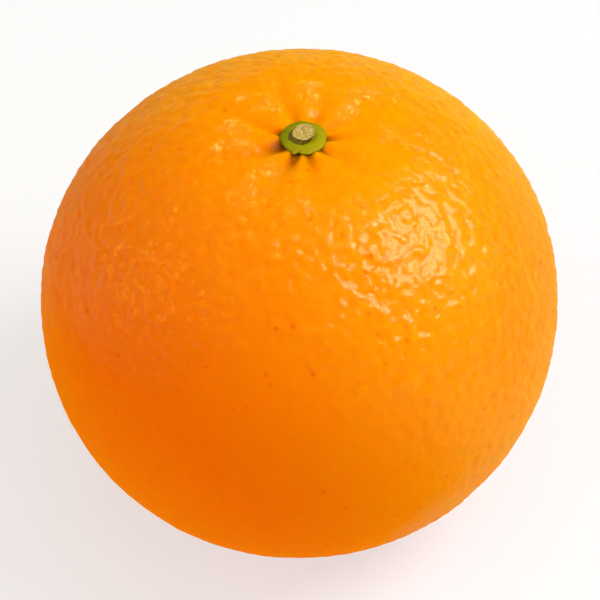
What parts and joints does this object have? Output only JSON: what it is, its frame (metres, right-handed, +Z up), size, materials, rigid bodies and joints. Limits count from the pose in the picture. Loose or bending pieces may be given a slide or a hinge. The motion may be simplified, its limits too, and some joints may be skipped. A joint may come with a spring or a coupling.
{
  "type": "mandarin orange",
  "caption": "Whole fresh mandarin orange, slightly flattened and pebbly skinned, with radial furrows around a green calyx and a short cut stem stub; for tables, bowls and shelves.",
  "frame": {"origin": "middle of the bounding box in X and Y, on the plane that the fruit rests on", "axes": "+Z up along the core of the fruit, from the blossom end to the stem; +X and +Y across it"},
  "size_m": [0.07, 0.07, 0.0629],
  "materials": {
    "peel": null,
    "calyx_green": "satin; fresh green leathery calyx",
    "stem_wood": "matte; cut end of a thin green-brown twig"
  },
  "bodies": {
    "root": {"fruit": "peel", "calyx": "calyx_green", "stem_stub": "stem_wood"}
  },
  "joints": []
}
